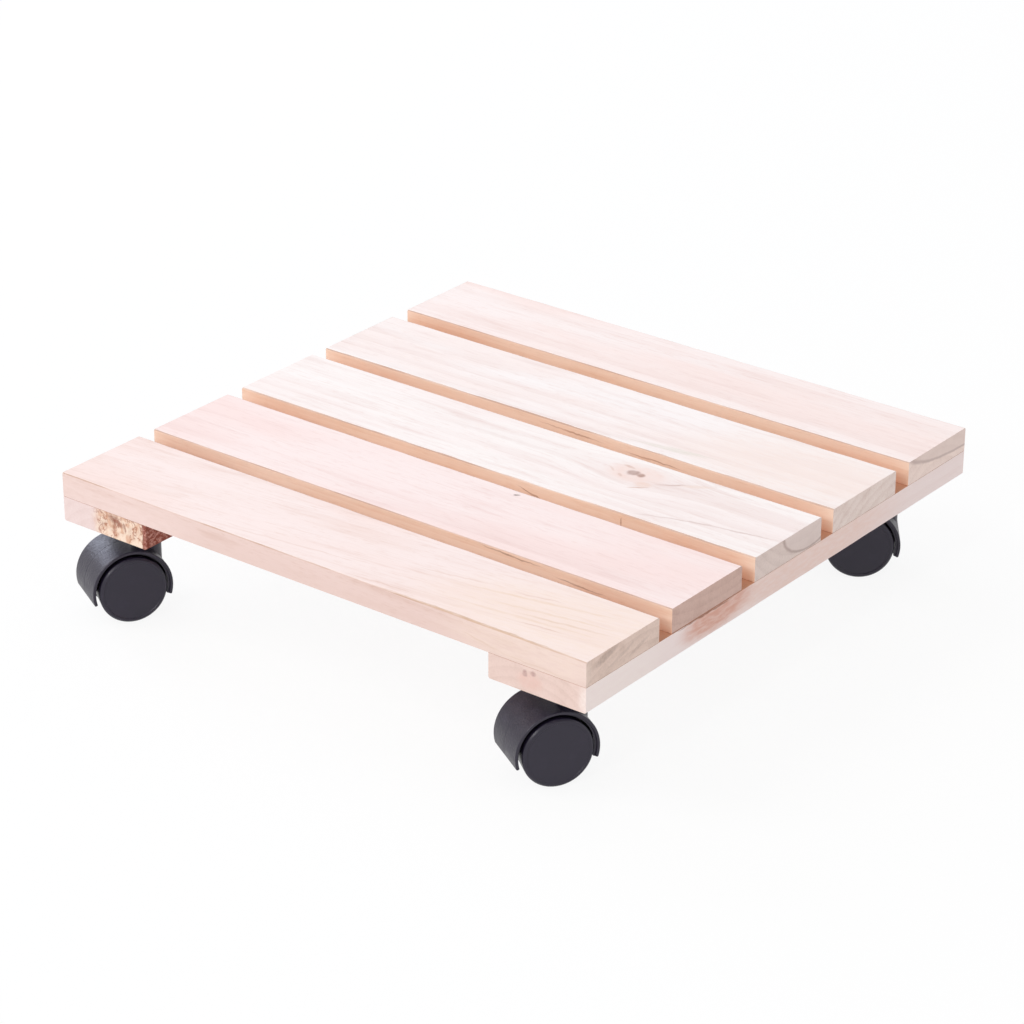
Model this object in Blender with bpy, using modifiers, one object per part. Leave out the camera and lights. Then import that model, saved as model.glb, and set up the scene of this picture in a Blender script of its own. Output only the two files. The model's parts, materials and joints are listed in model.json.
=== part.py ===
"""Square plant pot caddy: sawn slats on two battens, carried by four hooded twin-wheel casters.

Lengths are in metres and +Z is up. The origin is on the floor under the middle of the deck,
+X runs along the slats and +Y from the front slat to the back one.

A caster is drawn in a frame of its own: its origin is on the floor under the kingpin, +X points
from the axle towards the kingpin and Y runs along the axle.
"""

import math

import bmesh
import bpy
from mathutils import Matrix

MM = 0.001

# Clearances
SEAT_GAP = 0.3 * MM
PIN_GAP = 0.3 * MM

# Deck: the spaces, and the slats' shares of the depth between them, run from front to back
SLAT_LENGTH = 300.0 * MM
DECK_DEPTH = 300.0 * MM
SLAT_SPACES = (9.6 * MM, 9.5 * MM, 9.6 * MM, 11.1 * MM)
SLAT_SHARES = (0.199, 0.202, 0.203, 0.203, 0.193)
SLAT_THICKNESS = 12.0 * MM
BATTEN_WIDTH = 51.5 * MM
BATTEN_THICKNESS = 12.0 * MM
WOOD_EDGE_ROUND = 0.8 * MM

# Casters: a corner is its sides of the deck in X and Y, and its caster's turn about the kingpin
CASTER_HEIGHT = 46.0 * MM
CASTER_WIDTH = 28.4 * MM
CASTER_INSET = 26.4 * MM
SWIVEL_OFFSET = 11.75 * MM
CORNERS = {
    "front_left": (-1, -1, math.radians(61.5)),
    "front_right": (1, -1, math.radians(58.5)),
    "back_left": (-1, 1, math.radians(-60)),
    "back_right": (1, 1, math.radians(35.5)),
}

# Wheels
WHEEL_DIAMETER = 32.8 * MM
WHEEL_EDGE_ROUND = 1.2 * MM
WHEEL_TAPER = 1.0 * MM
RIM_THICKNESS = 2.4 * MM
FACE_THICKNESS = 2.2 * MM
HUB_DIAMETER = 11.0 * MM
WEB_SIDE_GAP = 0.7 * MM
AXLE_DIAMETER = 5.0 * MM

# Hood
HOOD_WIDTH = 26.8 * MM
HOOD_WALL = 1.7 * MM
HOOD_CLEARANCE = 1.5 * MM
HOOD_END_DROP = math.radians(12)
HOOD_LIP_ROUND = 0.6 * MM
WEB_THICKNESS = 3.0 * MM
BOSS_DIAMETER = 10.0 * MM
BOSS_WIDTH = 6.0 * MM
NECK_DIAMETER = 13.0 * MM
NECK_EDGE_ROUND = 0.6 * MM
SOCKET_FLOOR = 1.4 * MM

# Kingpin and mounting plate
KINGPIN_DIAMETER = 8.0 * MM
KINGPIN_HEAD_DIAMETER = 11.0 * MM
KINGPIN_HEAD_DEPTH = 1.4 * MM
COLLAR_DIAMETER = 12.0 * MM
COLLAR_THICKNESS = 1.0 * MM
GROOVE_DEPTH = 0.8 * MM
GROOVE_WIDTH = 1.6 * MM
KINGPIN_TIP = 1.5 * MM
TIP_CHAMFER = 0.6 * MM
PLATE_SIZE = 38.0 * MM
PLATE_THICKNESS = 2.0 * MM
PLATE_CORNER_ROUND = 5.0 * MM
PLATE_HOLE_MARGIN = 5.0 * MM

# Screws
SCREW_DIAMETER = 3.5 * MM
SCREW_POINT = 3.0 * MM
SLAT_SCREW_LENGTH = 20.0 * MM
SLAT_SCREW_HEAD_DIAMETER = 7.0 * MM
PLATE_SCREW_LENGTH = 12.0 * MM
PLATE_SCREW_HEAD_DIAMETER = 6.6 * MM
PLATE_SCREW_HEAD_HEIGHT = 2.0 * MM

# Facets
HOOD_STEPS = 20
END_STEPS = 4
WHEEL_STEPS = 26
PIN_STEPS = 14
SCREW_STEPS = 10
CORNER_STEPS = 2
WELD = 0.001 * MM
CUT_MARGIN = 2.0 * MM

# Worked out from the sizes above
BATTEN_BOTTOM = CASTER_HEIGHT + SEAT_GAP
SLAT_BOTTOM = BATTEN_BOTTOM + BATTEN_THICKNESS + SEAT_GAP
BATTEN_X = (SLAT_LENGTH - BATTEN_WIDTH) / 2
CASTER_X = SLAT_LENGTH / 2 - CASTER_INSET
CASTER_Y = DECK_DEPTH / 2 - CASTER_INSET
PLATE_BOTTOM = CASTER_HEIGHT - PLATE_THICKNESS
WHEEL_RADIUS = WHEEL_DIAMETER / 2
AXLE_RADIUS = AXLE_DIAMETER / 2
KINGPIN_RADIUS = KINGPIN_DIAMETER / 2
NECK_RADIUS = NECK_DIAMETER / 2
SCREW_RADIUS = SCREW_DIAMETER / 2
HOOD_INNER = WHEEL_RADIUS + HOOD_CLEARANCE
HOOD_OUTER = HOOD_INNER + HOOD_WALL
HOOD_MIDDLE = HOOD_INNER + HOOD_WALL / 2
COLLAR_TOP = PLATE_BOTTOM - SEAT_GAP
COLLAR_BOTTOM = COLLAR_TOP - COLLAR_THICKNESS
NECK_TOP = COLLAR_BOTTOM - SEAT_GAP
SOCKET_RADIUS = KINGPIN_RADIUS + PIN_GAP
SOCKET_REACH = max(SWIVEL_OFFSET - SOCKET_RADIUS, 0.0)
SOCKET_BOTTOM = WHEEL_RADIUS + math.sqrt(HOOD_INNER**2 - SOCKET_REACH**2) + SOCKET_FLOOR
KINGPIN_END = SOCKET_BOTTOM + SEAT_GAP
BORE_RADIUS = AXLE_RADIUS + PIN_GAP
WHEEL_OUTER_FACE = CASTER_WIDTH / 2
BORE_END = WHEEL_OUTER_FACE - FACE_THICKNESS
AXLE_HALF = BORE_END - SEAT_GAP


def clear_scene():
    for obj in list(bpy.data.objects):
        bpy.data.objects.remove(obj, do_unlink=True)


def new_collection(name):
    collection = bpy.data.collections.new(name)
    bpy.context.scene.collection.children.link(collection)
    return collection


def new_material(name, colour, roughness, metallic):
    material = bpy.data.materials.new(name)
    material.use_nodes = True
    shader = material.node_tree.nodes["Principled BSDF"]
    shader.inputs["Base Color"].default_value = (*colour, 1.0)
    shader.inputs["Roughness"].default_value = roughness
    shader.inputs["Metallic"].default_value = metallic
    material.diffuse_color = (*colour, 1.0)
    return material


def add_part(name, mesh, material):
    """A named piece of the caddy. Copies of one piece share its mesh."""
    part = bpy.data.objects.new(name, mesh)
    caddy.objects.link(part)
    if not mesh.materials:
        mesh.materials.append(material)
    return part


def add_cutter(name, mesh):
    cutter = bpy.data.objects.new(name, mesh)
    cutters.objects.link(cutter)
    cutter.hide_render = True
    cutter.display_type = "WIRE"
    return cutter


def apply_boolean(part, other, operation):
    modifier = part.modifiers.new(other.name, "BOOLEAN")
    modifier.object = other
    modifier.operation = operation
    modifier.solver = "EXACT"


def round_edges(part, width, segments):
    modifier = part.modifiers.new("rounded edges", "BEVEL")
    modifier.width = width
    modifier.segments = segments
    modifier.limit_method = "ANGLE"
    modifier.angle_limit = math.radians(50)


def baked(obj):
    """The evaluated mesh of an object, which is then removed."""
    bpy.context.view_layer.update()
    graph = bpy.context.evaluated_depsgraph_get()
    mesh = bpy.data.meshes.new_from_object(obj.evaluated_get(graph))
    bpy.data.objects.remove(obj, do_unlink=True)
    mesh.shade_smooth()
    mesh.set_sharp_from_angle(angle=math.radians(40))
    return mesh


def box_mesh(name, size):
    shape = bmesh.new()
    bmesh.ops.create_cube(shape, size=1.0, matrix=Matrix.Diagonal((*size, 1.0)))
    mesh = bpy.data.meshes.new(name)
    shape.to_mesh(mesh)
    shape.free()
    return mesh


def turned_mesh(name, profile, steps):
    """A solid turned about Z from (radius, height) points that run from its top to its foot."""
    outline = bpy.data.meshes.new(name)
    points = [(radius, 0.0, height) for radius, height in profile]
    outline.from_pydata(points, [(i, i + 1) for i in range(len(points) - 1)], [])
    turned = add_cutter(name, outline)
    modifier = turned.modifiers.new("turned", "SCREW")
    modifier.axis = "Z"
    modifier.steps = steps
    modifier.render_steps = steps
    modifier.use_merge_vertices = True
    modifier.merge_threshold = WELD
    mesh = baked(turned)
    mesh.name = name
    return mesh


def outline_mesh(name, points, thickness):
    """A flat piece in the XY plane, as thick to either side of it."""
    curve = bpy.data.curves.new(name, "CURVE")
    curve.dimensions = "2D"
    curve.fill_mode = "BOTH"
    curve.extrude = thickness / 2
    spline = curve.splines.new("POLY")
    spline.points.add(len(points) - 1)
    for place, (x, y) in zip(spline.points, points):
        place.co = (x, y, 0.0, 1.0)
    spline.use_cyclic_u = True
    mesh = baked(add_cutter(name, curve))
    shape = bmesh.new()
    shape.from_mesh(mesh)
    bmesh.ops.remove_doubles(shape, verts=shape.verts, dist=WELD)
    bmesh.ops.dissolve_limit(shape, angle_limit=math.radians(1), verts=shape.verts, edges=shape.edges)
    bmesh.ops.recalc_face_normals(shape, faces=shape.faces)
    shape.to_mesh(mesh)
    shape.free()
    mesh.name = name
    return mesh


def arc(centre_x, centre_y, radius, start, end, steps):
    angles = [start + (end - start) * i / steps for i in range(steps + 1)]
    return [(centre_x + radius * math.cos(a), centre_y + radius * math.sin(a)) for a in angles]


def along_axle(mesh):
    """Turns a piece drawn in the XY plane or about Z upright, so that its Z runs to -Y."""
    mesh.transform(Matrix.Rotation(math.pi / 2, 4, "X"))
    return mesh


def rod_mesh(name, radius, length, steps):
    return turned_mesh(name, [(0, length), (radius, length), (radius, 0), (0, 0)], steps)


def slat_rows():
    """The middle of each slat across the deck and its width, front to back."""
    rows = []
    wood = DECK_DEPTH - sum(SLAT_SPACES)
    front = -DECK_DEPTH / 2
    for share, space in zip(SLAT_SHARES, (*SLAT_SPACES, 0.0)):
        width = wood * share
        rows.append((front + width / 2, width))
        front += width + space
    return rows


def plate_hole_places():
    half = PLATE_SIZE / 2 - PLATE_HOLE_MARGIN
    return [(-half, -half), (half, -half), (half, half), (-half, half)]


def slat_screw_mesh():
    """A countersunk wood screw, its flat head down at z = 0."""
    head = SLAT_SCREW_HEAD_DIAMETER / 2
    profile = [
        (0, SLAT_SCREW_LENGTH),
        (SCREW_RADIUS, SLAT_SCREW_LENGTH - SCREW_POINT),
        (SCREW_RADIUS, head - SCREW_RADIUS),
        (head, 0),
        (0, 0),
    ]
    return turned_mesh("slat_screw", profile, SCREW_STEPS)


def slat_screw_hole_mesh():
    """The screw's own outline, larger by the gap all round and open below."""
    head = SLAT_SCREW_HEAD_DIAMETER / 2 + PIN_GAP
    bore = SCREW_RADIUS + PIN_GAP
    profile = [
        (0, SLAT_SCREW_LENGTH + PIN_GAP),
        (bore, SLAT_SCREW_LENGTH - SCREW_POINT + PIN_GAP),
        (bore, head - bore),
        (head, 0),
        (head, -CUT_MARGIN),
        (0, -CUT_MARGIN),
    ]
    return turned_mesh("slat_screw_hole", profile, SCREW_STEPS)


def plate_screw_mesh():
    """A pan-head wood screw, the underside of its head at z = 0."""
    head = PLATE_SCREW_HEAD_DIAMETER / 2
    profile = [
        (0, PLATE_SCREW_LENGTH),
        (SCREW_RADIUS, PLATE_SCREW_LENGTH - SCREW_POINT),
        (SCREW_RADIUS, 0),
        (head, 0),
        (head, -PLATE_SCREW_HEAD_HEIGHT / 2),
        (head / 2, -PLATE_SCREW_HEAD_HEIGHT),
        (0, -PLATE_SCREW_HEAD_HEIGHT),
    ]
    return turned_mesh("plate_screw", profile, SCREW_STEPS)


def plate_screw_hole_mesh():
    bore = SCREW_RADIUS + PIN_GAP
    profile = [
        (0, PLATE_SCREW_LENGTH + PIN_GAP),
        (bore, PLATE_SCREW_LENGTH - SCREW_POINT + PIN_GAP),
        (bore, -CUT_MARGIN),
        (0, -CUT_MARGIN),
    ]
    return turned_mesh("plate_screw_hole", profile, SCREW_STEPS)


def plate_mesh():
    """The stamped plate, its top at z = 0, with a countersink for the kingpin's riveted head."""
    half = PLATE_SIZE / 2 - PLATE_CORNER_ROUND
    outline = []
    for turn, (x, y) in enumerate([(half, half), (-half, half), (-half, -half), (half, -half)]):
        start = turn * math.pi / 2
        outline += arc(x, y, PLATE_CORNER_ROUND, start, start + math.pi / 2, CORNER_STEPS)
    mesh = outline_mesh("plate_blank", outline, PLATE_THICKNESS)
    mesh.transform(Matrix.Translation((0, 0, -PLATE_THICKNESS / 2)))
    blank = add_cutter("plate_blank", mesh)
    bore = SCREW_RADIUS + PIN_GAP
    for number, (x, y) in enumerate(plate_hole_places(), 1):
        hole = add_cutter(
            f"plate_hole_{number}",
            rod_mesh("plate_hole", bore, PLATE_THICKNESS + 2 * CUT_MARGIN, SCREW_STEPS),
        )
        hole.location = (x, y, -PLATE_THICKNESS - CUT_MARGIN)
        apply_boolean(blank, hole, "DIFFERENCE")
    head = KINGPIN_HEAD_DIAMETER / 2 + PIN_GAP
    shank = KINGPIN_RADIUS + PIN_GAP
    countersink = [
        (0, CUT_MARGIN),
        (head, CUT_MARGIN),
        (head, 0),
        (shank, -KINGPIN_HEAD_DEPTH),
        (shank, -PLATE_THICKNESS - CUT_MARGIN),
        (0, -PLATE_THICKNESS - CUT_MARGIN),
    ]
    seat = add_cutter("kingpin_seat", turned_mesh("kingpin_seat", countersink, PIN_STEPS))
    apply_boolean(blank, seat, "DIFFERENCE")
    mesh = baked(blank)
    mesh.name = "plate"
    return mesh


def kingpin_mesh():
    """The swivel pin, its riveted head flush with the plate's top at z = 0."""
    base = CASTER_HEIGHT
    groove_foot = KINGPIN_END + KINGPIN_TIP
    groove_top = groove_foot + GROOVE_WIDTH
    groove_radius = KINGPIN_RADIUS - GROOVE_DEPTH
    profile = [
        (0, base),
        (KINGPIN_HEAD_DIAMETER / 2, base),
        (KINGPIN_RADIUS, base - KINGPIN_HEAD_DEPTH),
        (KINGPIN_RADIUS, COLLAR_TOP),
        (COLLAR_DIAMETER / 2, COLLAR_TOP),
        (COLLAR_DIAMETER / 2, COLLAR_BOTTOM),
        (KINGPIN_RADIUS, COLLAR_BOTTOM),
        (KINGPIN_RADIUS, groove_top),
        (groove_radius, groove_top),
        (groove_radius, groove_foot),
        (KINGPIN_RADIUS, groove_foot),
        (KINGPIN_RADIUS, KINGPIN_END + TIP_CHAMFER),
        (KINGPIN_RADIUS - TIP_CHAMFER, KINGPIN_END),
        (0, KINGPIN_END),
    ]
    mesh = turned_mesh("kingpin", profile, PIN_STEPS)
    mesh.transform(Matrix.Translation((0, 0, -base)))
    return mesh


def axle_mesh():
    profile = [
        (0, AXLE_HALF),
        (AXLE_RADIUS, AXLE_HALF),
        (AXLE_RADIUS, -AXLE_HALF),
        (0, -AXLE_HALF),
    ]
    return along_axle(turned_mesh("axle", profile, PIN_STEPS))


def wheel_mesh():
    """A cup-shaped wheel, its plain face outwards, on a blind hub. It is drawn on the -Y side."""
    rim_end = WEB_THICKNESS / 2 + WEB_SIDE_GAP
    hub_end = BOSS_WIDTH / 2 + SEAT_GAP
    shoulder = WHEEL_OUTER_FACE - WHEEL_EDGE_ROUND
    corner = arc(
        WHEEL_RADIUS - WHEEL_EDGE_ROUND, shoulder, WHEEL_EDGE_ROUND, math.pi / 2, 0, CORNER_STEPS
    )
    profile = [(0, WHEEL_OUTER_FACE)]
    profile += corner
    profile += [
        (WHEEL_RADIUS - WHEEL_TAPER, rim_end),
        (WHEEL_RADIUS - RIM_THICKNESS, rim_end),
        (WHEEL_RADIUS - RIM_THICKNESS, BORE_END),
        (HUB_DIAMETER / 2, BORE_END),
        (HUB_DIAMETER / 2, hub_end),
        (BORE_RADIUS, hub_end),
        (BORE_RADIUS, BORE_END),
        (0, BORE_END),
    ]
    return along_axle(turned_mesh("wheel", profile, WHEEL_STEPS))


def hood_shell():
    """The curved cover over both wheels, with its ends and lips rounded, about the axle."""
    lead = -HOOD_END_DROP
    trail = math.pi + HOOD_END_DROP
    lead_end = (HOOD_MIDDLE * math.cos(lead), HOOD_MIDDLE * math.sin(lead))
    trail_end = (HOOD_MIDDLE * math.cos(trail), HOOD_MIDDLE * math.sin(trail))
    end_round = HOOD_WALL / 2
    outline = arc(0, 0, HOOD_OUTER, lead, trail, HOOD_STEPS)
    outline += arc(*trail_end, end_round, trail, trail + math.pi, END_STEPS)[1:-1]
    outline += arc(0, 0, HOOD_INNER, trail, lead, HOOD_STEPS)
    outline += arc(*lead_end, end_round, lead - math.pi, lead, END_STEPS)[1:-1]
    shell = add_cutter("hood_shell", along_axle(outline_mesh("hood_shell", outline, HOOD_WIDTH)))
    round_edges(shell, HOOD_LIP_ROUND, 1)
    return shell


def hood_web():
    """The wall between the wheels, from the shell down round the axle boss."""
    lead = -HOOD_END_DROP
    trail = math.pi + HOOD_END_DROP
    outline = arc(0, 0, HOOD_MIDDLE, lead, trail, HOOD_STEPS)
    outline += arc(0, 0, BOSS_DIAMETER / 2, math.pi * 1.25, math.pi * 1.75, END_STEPS)
    return add_cutter("hood_web", along_axle(outline_mesh("hood_web", outline, WEB_THICKNESS)))


def hood_boss():
    mesh = rod_mesh("hood_boss", BOSS_DIAMETER / 2, BOSS_WIDTH, PIN_STEPS)
    mesh.transform(Matrix.Translation((0, 0, -BOSS_WIDTH / 2)))
    return add_cutter("hood_boss", along_axle(mesh))


def hood_neck():
    """The swivel neck at the leading side, trimmed to the inside of the shell's wall."""
    top = NECK_TOP - WHEEL_RADIUS
    profile = [
        (0, top),
        (NECK_RADIUS - NECK_EDGE_ROUND, top),
        (NECK_RADIUS, top - NECK_EDGE_ROUND),
        (NECK_RADIUS, 0),
        (0, 0),
    ]
    mesh = turned_mesh("hood_neck", profile, PIN_STEPS)
    mesh.transform(Matrix.Translation((SWIVEL_OFFSET, 0, 0)))
    neck = add_cutter("hood_neck", mesh)
    well = rod_mesh("wheel_well", HOOD_MIDDLE, HOOD_WIDTH, 2 * HOOD_STEPS)
    well.transform(Matrix.Translation((0, 0, -HOOD_WIDTH / 2)))
    apply_boolean(neck, add_cutter("wheel_well", along_axle(well)), "DIFFERENCE")
    return neck


def kingpin_socket():
    """The bore of the neck, with a rib that snaps into the kingpin's groove."""
    groove_middle = KINGPIN_END + KINGPIN_TIP + GROOVE_WIDTH / 2
    rib_half = GROOVE_WIDTH / 2 - SEAT_GAP
    rib_radius = KINGPIN_RADIUS - GROOVE_DEPTH + PIN_GAP
    profile = [
        (0, NECK_TOP + CUT_MARGIN),
        (SOCKET_RADIUS, NECK_TOP + CUT_MARGIN),
        (SOCKET_RADIUS, groove_middle + rib_half),
        (rib_radius, groove_middle + rib_half),
        (rib_radius, groove_middle - rib_half),
        (SOCKET_RADIUS, groove_middle - rib_half),
        (SOCKET_RADIUS, SOCKET_BOTTOM),
        (0, SOCKET_BOTTOM),
    ]
    mesh = turned_mesh("kingpin_socket", profile, PIN_STEPS)
    mesh.transform(Matrix.Translation((SWIVEL_OFFSET, 0, -WHEEL_RADIUS)))
    return add_cutter("kingpin_socket", mesh)


def axle_bore():
    mesh = rod_mesh("axle_bore", BORE_RADIUS, BOSS_WIDTH + 2 * CUT_MARGIN, PIN_STEPS)
    mesh.transform(Matrix.Translation((0, 0, -BOSS_WIDTH / 2 - CUT_MARGIN)))
    return add_cutter("axle_bore", along_axle(mesh))


def hood_mesh():
    """The one-piece hood moulding, drawn about the axle and then moved to the caster's frame."""
    hood = hood_shell()
    apply_boolean(hood, hood_web(), "UNION")
    apply_boolean(hood, hood_boss(), "UNION")
    apply_boolean(hood, hood_neck(), "UNION")
    apply_boolean(hood, kingpin_socket(), "DIFFERENCE")
    apply_boolean(hood, axle_bore(), "DIFFERENCE")
    mesh = baked(hood)
    mesh.transform(Matrix.Translation((-SWIVEL_OFFSET, 0, WHEEL_RADIUS)))
    mesh.name = "hood"
    return mesh


def add_slats(material):
    slats = []
    for number, (middle, width) in enumerate(slat_rows(), 1):
        mesh = box_mesh(f"slat_{number}", (SLAT_LENGTH, width, SLAT_THICKNESS))
        slat = add_part(f"slat_{number}", mesh, material)
        slat.location = (0, middle, SLAT_BOTTOM + SLAT_THICKNESS / 2)
        round_edges(slat, WOOD_EDGE_ROUND, 1)
        slats.append(slat)
    return slats


def add_batten(side, x, material):
    mesh = box_mesh(f"batten_{side}", (BATTEN_WIDTH, DECK_DEPTH, BATTEN_THICKNESS))
    batten = add_part(f"batten_{side}", mesh, material)
    batten.location = (x, 0, BATTEN_BOTTOM + BATTEN_THICKNESS / 2)
    round_edges(batten, WOOD_EDGE_ROUND, 1)
    return batten


def add_deck(wood, batten_wood, steel):
    """The slats and battens with the screws that join them. Returns the battens by side."""
    slats = add_slats(wood)
    screw_mesh = slat_screw_mesh()
    hole_mesh = slat_screw_hole_mesh()
    battens = {}
    for side, x in (("left", -BATTEN_X), ("right", BATTEN_X)):
        batten = add_batten(side, x, batten_wood)
        for number, slat in enumerate(slats, 1):
            place = (x, slat.location.y, BATTEN_BOTTOM)
            add_part(f"slat_screw_{side}_{number}", screw_mesh, steel).location = place
            hole = add_cutter(f"slat_screw_hole_{side}_{number}", hole_mesh)
            hole.location = place
            apply_boolean(slat, hole, "DIFFERENCE")
            apply_boolean(batten, hole, "DIFFERENCE")
        battens[side] = batten
    return battens


def add_plate(corner, x, y, batten, meshes, steel):
    """A mounting plate with its kingpin and screws, held by the batten."""
    plate = add_part(f"{corner}_plate", meshes["plate"], steel)
    plate.location = (x, y, CASTER_HEIGHT)
    add_part(f"{corner}_kingpin", meshes["kingpin"], steel).location = (x, y, CASTER_HEIGHT)
    for number, (dx, dy) in enumerate(plate_hole_places(), 1):
        place = (x + dx, y + dy, PLATE_BOTTOM - SEAT_GAP)
        add_part(f"{corner}_plate_screw_{number}", meshes["plate_screw"], steel).location = place
        hole = add_cutter(f"{corner}_plate_screw_hole_{number}", meshes["plate_screw_hole"])
        hole.location = place
        apply_boolean(batten, hole, "DIFFERENCE")


def add_caster(corner, x, y, heading, meshes, materials):
    """The hood, axle and twin wheels, turning with an empty on the kingpin's axis."""
    swivel = bpy.data.objects.new(f"{corner}_swivel", None)
    caddy.objects.link(swivel)
    swivel.location = (x, y, 0)
    swivel.rotation_euler = (0, 0, heading)
    pieces = [
        add_part(f"{corner}_hood", meshes["hood"], materials["hood"]),
        add_part(f"{corner}_axle", meshes["axle"], materials["steel"]),
        add_part(f"{corner}_wheel_1", meshes["wheel"], materials["wheel"]),
        add_part(f"{corner}_wheel_2", meshes["wheel"], materials["wheel"]),
    ]
    for piece in pieces:
        piece.parent = swivel
    for piece in pieces[1:]:
        piece.location = (-SWIVEL_OFFSET, 0, WHEEL_RADIUS)
    pieces[3].rotation_euler = (0, 0, math.pi)


def build():
    materials = {
        "slat": new_material("pale sawn softwood", (0.86, 0.76, 0.68), 0.75, 0.0),
        "batten": new_material("pink sawn softwood", (0.80, 0.65, 0.56), 0.8, 0.0),
        "steel": new_material("zinc plated steel", (0.62, 0.62, 0.60), 0.35, 1.0),
        "hood": new_material("black nylon hood", (0.055, 0.052, 0.058), 0.45, 0.0),
        "wheel": new_material("black nylon wheel", (0.035, 0.033, 0.038), 0.55, 0.0),
    }
    meshes = {
        "plate": plate_mesh(),
        "kingpin": kingpin_mesh(),
        "plate_screw": plate_screw_mesh(),
        "plate_screw_hole": plate_screw_hole_mesh(),
        "hood": hood_mesh(),
        "axle": axle_mesh(),
        "wheel": wheel_mesh(),
    }
    battens = add_deck(materials["slat"], materials["batten"], materials["steel"])
    for corner, (side_x, side_y, heading) in CORNERS.items():
        x, y = side_x * CASTER_X, side_y * CASTER_Y
        batten = battens["left" if side_x < 0 else "right"]
        add_plate(corner, x, y, batten, meshes, materials["steel"])
        add_caster(corner, x, y, heading, meshes, materials)


clear_scene()
caddy = new_collection("plant_pot_caddy")
cutters = new_collection("cutters")
build()
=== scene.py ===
"""The looks of the plant pot caddy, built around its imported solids.

Lengths are in metres and +Z is up. +X runs along the slats and +Y from the front slat to the back one.
A caster is drawn about its axle: +X points from the axle to the kingpin, Y runs along the axle.
"""

import json
import math

import bmesh
import bpy
from mathutils import Matrix, Vector, noise


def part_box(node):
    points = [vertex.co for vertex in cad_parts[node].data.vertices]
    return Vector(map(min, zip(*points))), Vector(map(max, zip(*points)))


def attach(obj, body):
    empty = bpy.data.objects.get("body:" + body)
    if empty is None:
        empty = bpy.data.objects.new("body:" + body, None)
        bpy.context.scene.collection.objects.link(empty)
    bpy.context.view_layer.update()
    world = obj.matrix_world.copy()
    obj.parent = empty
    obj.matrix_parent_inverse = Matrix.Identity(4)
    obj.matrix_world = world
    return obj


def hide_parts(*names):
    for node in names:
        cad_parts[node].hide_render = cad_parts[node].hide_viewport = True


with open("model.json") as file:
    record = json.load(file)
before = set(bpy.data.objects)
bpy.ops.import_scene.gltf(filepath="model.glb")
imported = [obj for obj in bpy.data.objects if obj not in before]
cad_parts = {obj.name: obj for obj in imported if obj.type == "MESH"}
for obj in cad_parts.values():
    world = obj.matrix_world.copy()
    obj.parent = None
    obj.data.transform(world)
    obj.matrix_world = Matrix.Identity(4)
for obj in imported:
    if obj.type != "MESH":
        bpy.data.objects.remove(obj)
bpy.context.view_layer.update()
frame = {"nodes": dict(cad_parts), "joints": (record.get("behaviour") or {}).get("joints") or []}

MM = 0.001
SLATS = ("slat_1", "slat_2", "slat_3", "slat_4", "slat_5")
BATTENS = ("batten_left", "batten_right")
CORNERS = ("front_left", "front_right", "back_left", "back_right")
SIDES = ("left", "right")

# Wood
ARRIS_ROUND = 0.7 * MM
SEAM_ROUND = 0.15 * MM
SEAM_FILL = 0.25 * MM
END_ROUND = 0.25 * MM
ARRIS_WEAR = 0.22 * MM
WEAR_LENGTH = 17.0 * MM
GRAIN_CUTS = 59
SHORT_SLAT = "slat_2"
SHORT_BY = 0.3 * MM
TORN_BATTEN = "batten_left"
TORN_FROM = 0.42
TORN_FADE = 0.05
TORN_ASPECT = 4
TORN_DEPTH = 0.9 * MM
TORN_CHIP = 2.6 * MM
TORN_STRETCH = 0.6
TORN_LEVEL = 0.35
TORN_CUTS_ACROSS = 60
TORN_CUTS_UP = 16

# Casters, measured from the axle
WHEEL_RADIUS = 16.28 * MM
WHEEL_OUTER_FACE = 14.2 * MM
WHEEL_INNER_RIM = 2.2 * MM
WHEEL_TAPER = 1.0 * MM
WHEEL_CHAMFER = 0.9 * MM
WHEEL_EDGE_ROUND = 0.3 * MM
FACE_STEP_RADIUS = 14.4 * MM
FACE_STEP = 0.25 * MM
RIM_THICKNESS = 2.4 * MM
FACE_THICKNESS = 2.2 * MM
HUB_RADIUS = 5.5 * MM
HUB_END = 3.3 * MM
BORE_RADIUS = 2.8 * MM
HOOD_INNER = 17.9 * MM
HOOD_OUTER = 19.4 * MM
HOOD_JOIN = HOOD_INNER + 1.0 * MM
HOOD_WIDTH = 26.7 * MM
HOOD_LEAD_DROP = math.radians(17.2)
HOOD_TRAIL_DROP = math.radians(15.8)
HOOD_END_ROUND = (HOOD_OUTER - HOOD_INNER) * 0.36
HOOD_LIP_ROUND = 0.5 * MM
PARTING_WIDTH = 0.35 * MM
PARTING_DEPTH = 0.1 * MM
PARTING_CUTS = (-3, -1, 0, 1, 3)
CHEEK_INNER = 16.75 * MM
CHEEK_OVERLAP = 0.5 * MM
CHEEK_TOP_OVERLAP = 0.2 * MM
CHEEK_SETBACK = 0.9 * MM
CHEEK_END_ROUND = 0.9 * MM
CHEEK_TURN = math.radians(160)
WEB_THICKNESS = 3.0 * MM
WEB_HOLE_RADIUS = BORE_RADIUS + 0.6 * MM
WEB_DROP = 0.7 * HOOD_TRAIL_DROP
BOSS_RADIUS = 5.0 * MM
BOSS_WIDTH = 6.0 * MM
BOSS_EDGE_ROUND = 0.4 * MM
SWIVEL_OFFSET = 11.75 * MM
NECK_RADIUS = 6.5 * MM
NECK_TOP = 26.0 * MM
NECK_EDGE_ROUND = 0.6 * MM
SOCKET_RADIUS = 4.3 * MM
SOCKET_FLOOR = 1.4 * MM
SOCKET_BOTTOM = math.sqrt(HOOD_INNER**2 - (SWIVEL_OFFSET - SOCKET_RADIUS) ** 2) + SOCKET_FLOOR

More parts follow.
